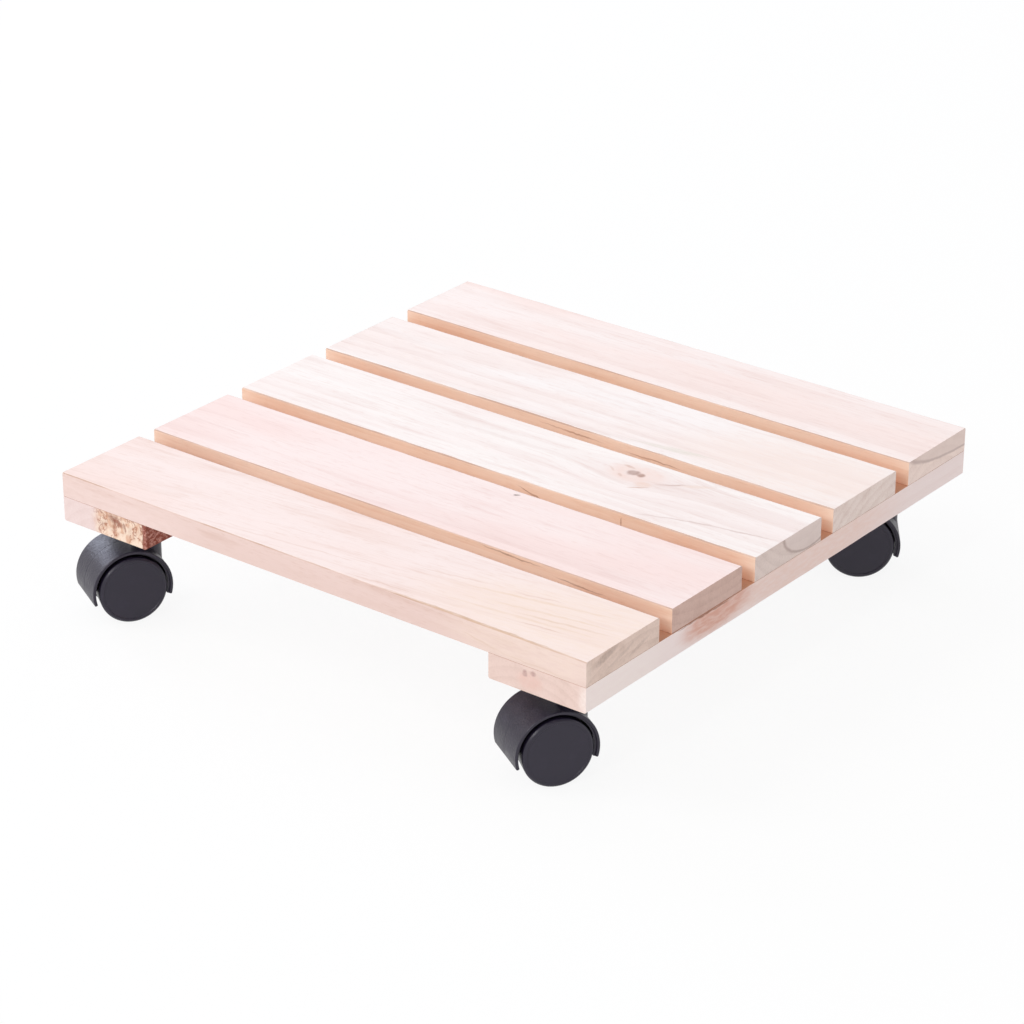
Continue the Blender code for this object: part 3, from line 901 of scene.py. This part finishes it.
def sawn_wood(name, pith, ring_gap, colours, marks=(), along_y=False, slope=0.0, knot=None, touches=()):
    """Sawn softwood: rings, fibres and pores along the grain, end grain and darker walls; the tops'
    paler tone is painted washed-out light.

    colours holds the tones that wood_tones lists.
    marks are what blot, streak and upright_streak give.
    slope is the angle of the grain to the piece's length.
    knot is the (centre, radii) of a spot that the grain runs round.
    touches change the colour before the marks do.
    """
    finish, tree, shader = new_finish(name)
    source = add_node(tree, "ShaderNodeTexCoord").outputs
    place = source["Object"]
    turn = (0, 0, -math.pi / 2 if along_y else -slope)
    coords = stretched(tree, place, (1, 1, 1), turn=turn)
    normal = stretched(tree, source["Normal"], (1, 1, 1), turn=turn)
    facing = add_node(tree, "ShaderNodeSeparateXYZ", {0: normal}).outputs
    if knot:
        coords = parted(tree, coords, *knot)
    grain = grain_maps(tree, coords, pith, ring_gap)

    colour = side_colour(tree, place, facing, grain, colours)
    end = ranged(tree, maths(tree, "ABSOLUTE", facing["X"]), 0.6, 0.8)
    colour = blended(tree, end, colour, end_colour(tree, coords, grain, colours))
    for touch in touches:
        colour = touch(tree, place, colour, end)
    top = ranged(tree, facing["Z"], 0.5, 0.8)
    uneven = ranged(tree, grain["flecks"], 0.3, 0.65, 0.6, 1.0)
    colour = marked(tree, place, colour, marks, top, uneven)

    rough = plus(tree, ranged(tree, grain["fibres"], 0.3, 0.7, 0.0, 0.14), 0.62)
    feed(tree, shader, {"Base Color": colour, "Roughness": rough, "Specular IOR Level": 0.25})
    height = plus(tree, times(tree, grain["fibres"], 0.7), times(tree, grain["speckle"], 0.3))
    bump(tree, shader, height, 0.12 * MM, 0.5)
    return finish


def grain_maps(tree, coords, pith, ring_gap):
    """What varies over the wood, each from 0 to 1. The last one is how deep the grain's colour is."""
    maps = {
        "rings": growth_rings(tree, coords, pith, ring_gap),
        "drift": mottle(tree, coords, (8, 36, 36), 2.0, 0.5),
        "streaks": mottle(tree, coords, (15, 170, 170), 3.0, 0.6),
        "fibres": mottle(tree, coords, (60, 1000, 1000), 3.0, 0.6),
        "flecks": mottle(tree, coords, (150, 700, 700), 2.0, 0.6),
        "pores": mottle(tree, coords, (110, 2100, 2100), 1.0, 0.5),
        "speckle": mottle(tree, coords, (900, 900, 900), 3.0, 0.7),
    }
    deep = times(tree, maps["rings"], ranged(tree, maps["drift"], 0.35, 0.65, 0.1, 0.4))
    deep = plus(tree, deep, ranged(tree, maps["streaks"], 0.5, 0.78, 0.0, 0.6))
    deep = plus(tree, deep, ranged(tree, maps["flecks"], 0.54, 0.78, 0.0, 0.4))
    maps["deep"] = plus(tree, deep, ranged(tree, maps["fibres"], 0.5, 0.76, 0.0, 0.45), clamp=True)
    return maps


def side_colour(tree, place, facing, grain, colours):
    """The colour along the grain: the tops, painted paler as washed-out light, the darker sawn walls,
    pores and darker arrises.
    """
    face = blended(tree, ranged(tree, grain["drift"], 0.36, 0.64), colours["face"], colours["drift"])
    colour = blended(tree, grain["deep"], face, colours["grain"])
    # Painted shade: upward faces take a darker tone, standing in for the shade at the foot of the gaps
    # between the slats.
    if "seat" in colours:
        colour = blended(tree, ranged(tree, facing["Z"], 0.6, 0.9), colour, colours["seat"])
    # Painted light: the tops keep a paler tone than the walls, standing in for the bright light that
    # washes them out; the walls' deeper tone is the wood's own.
    across = maths(tree, "ABSOLUTE", facing["Y"])
    wall = ranged(tree, across, 0.55, 0.9)
    colour = blended(tree, wall, colour, wall_colour(tree, place, grain, colours))
    pores = ranged(tree, grain["pores"], 0.62, 0.78)
    colour = blended(tree, times(tree, pores, 0.16), colour, colours["wall_grain"])
    # The rounded arrises along the tops are darker, in a broken band.
    arris = times(tree, across, maths(tree, "MAXIMUM", facing["Z"], 0.0))
    worn = ranged(tree, grain["streaks"], 0.35, 0.6, 0.3, 0.9)
    rubbed = times(tree, ranged(tree, arris, 0.2, 0.45), worn)
    return blended(tree, rubbed, colour, colours["arris"])


def wall_colour(tree, place, grain, colours):
    """The sawn walls: more deeply coloured than the tops, which are painted paler as washed-out light,
    and browner towards their foot, where shade is painted.
    """
    drift = ranged(tree, grain["drift"], 0.3, 0.7, -0.1, 0.25)
    share = plus(tree, times(tree, grain["deep"], 0.8), drift)
    colour = blended(tree, share, colours["wall"], colours["wall_grain"])
    # Painted shade: the walls turn browner towards their foot, deep in the gaps.
    height = add_node(tree, "ShaderNodeSeparateXYZ", {0: place}).outputs["Z"]
    foot = ranged(tree, height, WALL_FOOT, WALL_FOOT + FOOT_RISE, 0.6, 0.0)
    return blended(tree, foot, colour, colours["foot"])


def end_colour(tree, coords, grain, colours):
    """End grain: rings, specks of open pores and broad blotches."""
    blotch = mottle(tree, coords, (120, 120, 120), 3.0, 0.6)
    cut = times(tree, grain["rings"], 0.3)
    cut = plus(tree, cut, ranged(tree, grain["speckle"], 0.4, 0.75, 0.0, 0.4))
    cut = plus(tree, cut, ranged(tree, blotch, 0.4, 0.75, 0.0, 0.4), clamp=True)
    return blended(tree, cut, colours["end"], colours["end_ring"])


def marked(tree, place, colour, marks, top, uneven):
    """Lays the marks over a colour, with wavering outlines and a broken tone.

    Each mark lies on the top or on the sides alone.
    """
    wavering = warped(tree, place, 160.0, 1.0 * MM)
    on_top = times(tree, uneven, top)
    on_sides = maths(tree, "SUBTRACT", uneven, on_top)
    for centre, radii, turn, mark, strength, upward in marks:
        spot = ranged(tree, patch(tree, wavering, centre, radii, turn), 0.0, 0.6, 0.0, strength)
        spot = times(tree, spot, on_top if upward else on_sides)
        colour = blended(tree, spot, colour, mark)
    return colour


def wood_tones(**changes):
    tones = {
        # face and drift are the tops' tones, painted paler than the walls' as washed-out light.
        "face": tone(252, 243, 242),
        "drift": tone(250, 236, 233),
        "grain": tone(238, 220, 215),
        "wall": tone(254, 224, 203),
        "wall_grain": tone(240, 199, 171),
        "foot": tone(220, 168, 136),
        "arris": tone(200, 164, 144),
        "end": tone(243, 226, 219),
        "end_ring": tone(222, 198, 188),
    }
    tones.update(changes)
    return tones


def blot(centre, radii, colour, strength, turn=0.0):
    """An oval mark, in mm. Its radius of 0 lies across the surface that it is on."""
    across = radii.index(0)
    sizes = [radius * MM if radius else MARK_DEPTH for radius in radii]
    turns = [turn if axis == across else 0.0 for axis in range(3)]
    return Vector(centre) * MM, sizes, turns, colour, strength, across == 2


def streak(start, stop, width, colour, strength):
    """A long mark between two (x, y) places on the slats' tops, in mm."""
    run = Vector(stop) - Vector(start)
    middle = (Vector(start) + Vector(stop)) / 2
    turn = math.atan2(run.y, run.x)
    return blot((*middle, DECK_TOP), (run.length / 2, width / 2, 0), colour, strength, turn)


def upright_streak(start, stop, width, colour, strength):
    """A long mark between two (x, y, z) places on a side or an end, in mm."""
    run = Vector(stop) - Vector(start)
    middle = (Vector(start) + Vector(stop)) / 2 * MM
    radii = (run.length / 2 * MM, MARK_DEPTH, width / 2 * MM)
    return middle, radii, run.to_track_quat("X", "Z").to_euler(), colour, strength, False


def moulded_nylon(name, colour, scuff, roughness, pebble):
    """Black nylon with a spark-eroded texture, rubbed paler here and there."""
    finish, tree, shader = new_finish(name)
    coords = add_node(tree, "ShaderNodeTexCoord").outputs["Object"]
    grain = mottle(tree, coords, (2600, 2600, 2600), 2.0, 0.6)
    pebbles = mottle(tree, coords, (800, 800, 800), 2.0, 0.6)
    clouds = mottle(tree, coords, (160, 160, 160), 3.0, 0.6)
    rubbed = blended(tree, ranged(tree, clouds, 0.5, 0.8, 0.0, 0.5), colour, scuff)
    rough = plus(tree, ranged(tree, clouds, 0.3, 0.7, 0.0, 0.1), roughness)
    feed(tree, shader, {"Base Color": rubbed, "Roughness": rough, "Specular IOR Level": 0.45})
    height = plus(tree, times(tree, pebbles, pebble), times(tree, grain, 0.1))
    bump(tree, shader, height, 0.25 * MM, 0.7)
    return finish


def zinc_plate(name):
    """Zinc plated steel: bluish, slightly cloudy, with faint rolling lines."""
    finish, tree, shader = new_finish(name)
    coords = add_node(tree, "ShaderNodeTexCoord").outputs["Object"]
    clouds = mottle(tree, coords, (240, 240, 240), 3.0, 0.6)
    lines = mottle(tree, coords, (60, 2400, 60), 2.0, 0.5)
    colour = blended(tree, ranged(tree, clouds, 0.3, 0.75), tone(206, 208, 208), tone(176, 178, 180))
    rough = plus(tree, ranged(tree, clouds, 0.3, 0.7, 0.0, 0.15), 0.28)
    feed(tree, shader, {"Base Color": colour, "Metallic": 1.0, "Roughness": rough})
    bump(tree, shader, lines, 0.02 * MM, 0.3)
    return finish


def knotty_slat():
    """The middle slat: a small knot in a pink halo, dark shakes and a crescent on its right end."""
    grey = tone(226, 208, 203)
    brown = tone(216, 184, 170)
    crack = tone(150, 96, 66)
    knot = (58, 11.5, DECK_TOP)
    marks = [
        blot(knot, (19, 12, 0), tone(246, 220, 211), 0.8, 0.1),
        streak((47, 17), (56, 15.5), 2.6, brown, 0.8),
        streak((50, 8), (55, 5), 2.2, brown, 0.5),
        streak((62, 2), (72, 6), 7.0, tone(240, 213, 200), 0.8),
        blot((56.3, 11.8, DECK_TOP), (3.8, 3.6, 0), tone(164, 128, 118), 1.0, 0.4),
        blot((60.8, 11.4, DECK_TOP), (2.9, 2.6, 0), tone(182, 146, 134), 1.0, 0.2),
        streak((42, 12), (48.5, 7.5), 1.6, tone(228, 204, 192), 0.7),
        streak((62, -3.5), (72, 4), 1.5, brown, 0.8),
        streak((70.5, 6.5), (86, 17.5), 2.0, tone(210, 184, 176), 0.8),
        streak((80, 12), (97, 22.5), 4.0, tone(238, 215, 202), 0.6),
        streak((78, -24), (104, -15), 1.6, grey, 0.7),
        streak((92, -18.5), (124, -10), 1.8, grey, 1.0),
        streak((112, -13), (151, -6), 1.8, grey, 1.0),
        streak((-70, 4), (36, 8), 4.5, tone(240, 227, 223), 0.6),
        upright_streak((16, -26.6, 68), (44, -26.6, 61), 1.2, crack, 0.8),
        upright_streak((44, -26.6, 61.5), (70, -26.6, 61.5), 1.6, crack, 0.7),
        upright_streak((77.5, -26.6, 69), (77, -26.6, 62), 1.2, crack, 0.6),
    ]
    tones = wood_tones(
        face=tone(252, 245, 242),
        drift=tone(251, 240, 237),
        end=tone(238, 219, 211),
        end_ring=tone(216, 196, 188),
    )
    arc = end_arc((150, 17, 71), (22, 12), tone(170, 144, 136), tone(232, 214, 208))
    round_knot = (Vector(knot) * MM, Vector((50, 30, 50)) * MM)
    pith = (0.012, 0.10)
    return sawn_wood("knotty slat wood", pith, 0.005, tones, marks, knot=round_knot, touches=[arc])


def front_slat():
    """The front slat: its grain rises to the right, into thin tan lines."""
    tan = tone(236, 210, 188)
    brown = tone(226, 196, 182)
    grey = tone(184, 160, 148)
    marks = [
        blot((130, -124, DECK_TOP), (100, 40, 0), tone(248, 227, 212), 0.6, 0.15),
        streak((50, -128), (151, -108), 2.4, tan, 0.6),
        streak((76, -131), (152, -118), 2.2, tan, 0.6),
        streak((92, -133), (152, -123.5), 2.0, tone(226, 198, 174), 0.5),
        streak((56, -140), (150, -129), 2.4, tan, 0.5),
        streak((84, -118), (114, -112), 1.6, brown, 0.6),
        streak((30, -126), (84, -116), 1.5, brown, 0.4),
        streak((102, -138.5), (130, -134.5), 1.5, brown, 0.7),
        streak((16, -148), (58, -144.5), 1.5, brown, 0.6),
        streak((-60, -146), (20, -136), 1.6, brown, 0.35),
        streak((30, -149.2), (151, -149.2), 2.6, tone(206, 170, 138), 0.8),
        upright_streak((82, -150, 64.5), (108, -150, 60.5), 1.2, tone(206, 170, 146), 0.6),
        upright_streak((100, -150, 60.6), (146, -150, 59.6), 1.2, tone(206, 172, 150), 0.6),
        blot((120, -150, 65), (60, 0, 12), tone(246, 226, 212), 0.5),
        blot((-130, -150, 62), (75, 0, 16), tone(244, 221, 215), 0.6),
        upright_streak((150, -147, 65), (150, -126, 70.5), 5.0, grey, 0.7),
        upright_streak((150, -140, 60), (150, -112, 68), 2.4, grey, 0.35),
        upright_streak((150, -122, 60), (150, -104, 66), 2.4, grey, 0.35),
    ]
    tones = wood_tones(
        face=tone(250, 234, 230),
        drift=tone(249, 228, 222),
        grain=tone(236, 211, 202),
        wall=tone(232, 206, 198),
        wall_grain=tone(212, 178, 164),
        foot=tone(228, 201, 192),
        arris=tone(196, 160, 136),
        end=tone(238, 213, 200),
        end_ring=tone(212, 186, 172),
    )
    return sawn_wood("front slat wood", (-0.13, -0.01), 0.0052, tones, marks, slope=math.radians(6))


def second_slat():
    """The second slat, with a small dark speck and a mauve-brown right end."""
    tones = wood_tones(
        face=tone(251, 235, 232),
        drift=tone(250, 228, 224),
        grain=tone(238, 212, 207),
        end=tone(220, 188, 176),
        end_ring=tone(200, 166, 154),
    )
    dark = tone(140, 92, 66)
    marks = [
        blot((29, -40, DECK_TOP), (1.8, 1.1, 0), tone(120, 100, 94), 1.0, 0.6),
        upright_streak((42, -88.6, 69.4), (84, -88.6, 68.6), 1.0, dark, 0.6),
        upright_streak((84, -88.6, 66.5), (118, -88.6, 65), 1.0, dark, 0.6),
    ]
    return sawn_wood("second slat wood", (-0.05, 0.20), 0.0046, tones, marks)


def fourth_slat():
    """The fourth slat: thin greenish-grey streaks near its front arris, warmer towards the right."""
    grey = tone(226, 220, 208)
    brown = tone(168, 112, 80)
    marks = [blot((118, 62, DECK_TOP), (80, 40, 0), tone(249, 232, 224), 0.7)]
    for step in range(4):
        start = (24 + 7 * step, 40.5 + 1.5 * step)
        stop = (74 + 3 * step, 43.5 + 1.3 * step)
        marks.append(streak(start, stop, 1.3, grey, 0.7))
    marks.append(upright_streak((-20, 35.9, 68), (26, 35.9, 67), 1.0, brown, 0.6))
    marks.append(upright_streak((30, 35.9, 66.5), (72, 35.9, 66), 1.0, brown, 0.6))
    tones = wood_tones(face=tone(252, 245, 243), drift=tone(251, 238, 234), end=tone(246, 229, 221))
    return sawn_wood("fourth slat wood", (0.10, -0.02), 0.0048, tones, marks)


def back_slat():
    """The back slat, with a darker ring arch along the top of its right end."""
    tones = wood_tones(
        face=tone(252, 241, 238),
        drift=tone(251, 233, 228),
        grain=tone(240, 218, 212),
        end=tone(252, 230, 220),
        end_ring=tone(233, 209, 199),
    )
    arc = end_arc((150, 152, 74), (54, 12.4), tone(186, 164, 158), tone(229, 208, 200))
    return sawn_wood("back slat wood", (0.125, 0.03), 0.0055, tones, touches=[arc])


def batten_tones(**changes):
    tones = wood_tones(
        # painted shade on the battens' tops, where they show deep in the gaps
        seat=tone(196, 144, 116),
        wall=tone(252, 235, 232),
        wall_grain=tone(236, 210, 205),
        foot=tone(252, 235, 231),
        end=tone(234, 208, 198),
        end_ring=tone(220, 192, 181),
        arris=tone(230, 200, 188),
    )
    tones.update(changes)
    return tones


def left_batten():
    """The left batten, torn at its front end and stained dark red on the side towards the middle, where
    the stain also paints the shade under the deck.
    """
    low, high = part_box("batten_left")
    middle = (low.z + high.z) / 2
    touches = [
        torn_end((low.x + 0.71 * (high.x - low.x), low.y, middle), (0.021, 0.01, 0.022)),
        # A red stain that is also painted shade, on the inner side under the deck.
        red_stain_and_shade((high.x, low.y, middle), (0.003, 0.08, 0.04)),
    ]
    brown = tone(150, 92, 74)
    marks = [
        upright_streak((-124, -150, 57.5), (-111, -150, 53), 5.0, brown, 0.9),
        upright_streak((-119, -150, 55), (-118, -150, 47), 3.0, tone(172, 118, 98), 0.8),
        upright_streak((-113, -150, 57), (-111, -150, 50), 1.4, brown, 0.8),
    ]
    tones = batten_tones(
        wall=tone(234, 208, 198),
        wall_grain=tone(214, 184, 172),
        foot=tone(232, 204, 193),
        end=tone(238, 217, 213),
        end_ring=tone(228, 204, 199),
    )
    pith = (0.12, 0.02)
    return sawn_wood("left batten wood", pith, 0.005, tones, marks, along_y=True, touches=touches)


def right_batten():
    """The right batten: two small knots in its front end, and a reddish part of its outer side."""
    spot = tone(186, 150, 144)
    marks = [
        blot((120.5, -150, 52), (9, 0, 5.5), tone(230, 192, 180), 0.7),
        blot((118.1, -150, 55.2), (1.7, 0, 2.2), spot, 0.8),
        blot((122.3, -150, 56.1), (1.9, 0, 1.7), spot, 0.8),
        blot((150, -128, 52), (0, 44, 16), tone(255, 242, 236), 0.7),
        blot((150, 15, 54), (0, 95, 14), tone(244, 212, 200), 0.8),
        blot((150, -55, 55), (0, 34, 10), tone(226, 174, 156), 1.0, 0.05),
        # Painted shadow: a dark brown line on the outer side, under the second slat's right end.
        upright_streak((150, -90, 58.3), (150, -38, 58.3), 1.5, tone(150, 104, 88), 0.9),
    ]
    return sawn_wood("right batten wood", (-0.12, 0.01), 0.0047, batten_tones(), marks, along_y=True)


def wood_finishes():
    return {
        "slat_1": front_slat(),
        "slat_2": second_slat(),
        "slat_3": knotty_slat(),
        "slat_4": fourth_slat(),
        "slat_5": back_slat(),
        "batten_left": left_batten(),
        "batten_right": right_batten(),
    }


# Studio


def seen_directly(tree):
    """1 for rays that show the background: from the camera, in reflections and through glass."""
    path = add_node(tree, "ShaderNodeLightPath").outputs
    seen = maths(tree, "MAXIMUM", path["Is Camera Ray"], path["Is Glossy Ray"])
    return maths(tree, "MAXIMUM", seen, path["Is Transmission Ray"])


def add_floor():
    shape = bmesh.new()
    bmesh.ops.create_grid(shape, x_segments=1, y_segments=1, size=FLOOR_SIZE / 2)
    floor = linked("studio_floor", mesh_of("studio_floor", shape))
    finish, tree, shader = new_finish("white sweep")
    feed(tree, shader, {"Base Color": FLOOR_COLOUR, "Roughness": 0.9, "Specular IOR Level": 0.0})
    glow = add_node(tree, "ShaderNodeEmission", {"Strength": 1.0})
    share = times(tree, seen_directly(tree), FLOOR_GLOW)
    shares = {"Fac": share, 1: shader.outputs["BSDF"], 2: glow.outputs["Emission"]}
    mix = add_node(tree, "ShaderNodeMixShader", shares)
    feed(tree, tree.nodes["Material Output"], {"Surface": mix.outputs["Shader"]})
    floor.data.materials.append(finish)


def add_world():
    world = bpy.data.worlds.new("white studio")
    bpy.context.scene.world = world
    world.use_nodes = True
    tree = world.node_tree
    extra = times(tree, seen_directly(tree), 1.0 - WORLD_STRENGTH)
    strength = plus(tree, extra, WORLD_STRENGTH)
    feed(tree, tree.nodes["Background"], {"Color": WHITE, "Strength": strength})


def add_lamp(name, place, size, power, colour=WHITE[:3]):
    data = bpy.data.lights.new(name, "AREA")
    data.shape = "DISK"
    data.size = size
    data.energy = power
    data.color = colour
    lamp = linked(name, data)
    lamp.location = place
    lamp.rotation_euler = (-Vector(place)).to_track_quat("-Z", "Y").to_euler()


def add_camera():
    data = bpy.data.cameras.new("photo camera")
    data.lens = CAMERA_LENS
    data.sensor_width = CAMERA_SENSOR
    data.clip_start = CAMERA_NEAR
    data.clip_end = CAMERA_FAR
    camera = linked("photo camera", data)
    upright = Matrix.Rotation(math.pi / 2 - CAMERA_ELEVATION, 4, "X")
    look = Matrix.Rotation(CAMERA_AZIMUTH, 4, "Z") @ upright
    roll = Matrix.Rotation(CAMERA_ROLL, 4, "Z")
    camera.matrix_world = Matrix.Translation(CAMERA_PLACE) @ look @ roll
    bpy.context.scene.camera = camera


add_wood(wood_finishes())
add_casters(
    {
        "hood": moulded_nylon("black hood nylon", tone(40, 35, 50), tone(66, 61, 76), 0.34, 1.0),
        "wheel": moulded_nylon("black wheel nylon", tone(34, 28, 46), tone(44, 38, 55), 0.30, 0.1),
    }
)
add_steel(zinc_plate("zinc plated steel"))
add_floor()
add_world()
for lamp_name, lamp in LAMPS.items():
    add_lamp(lamp_name, **lamp)
add_camera()
bpy.context.scene.view_settings.view_transform = "Standard"
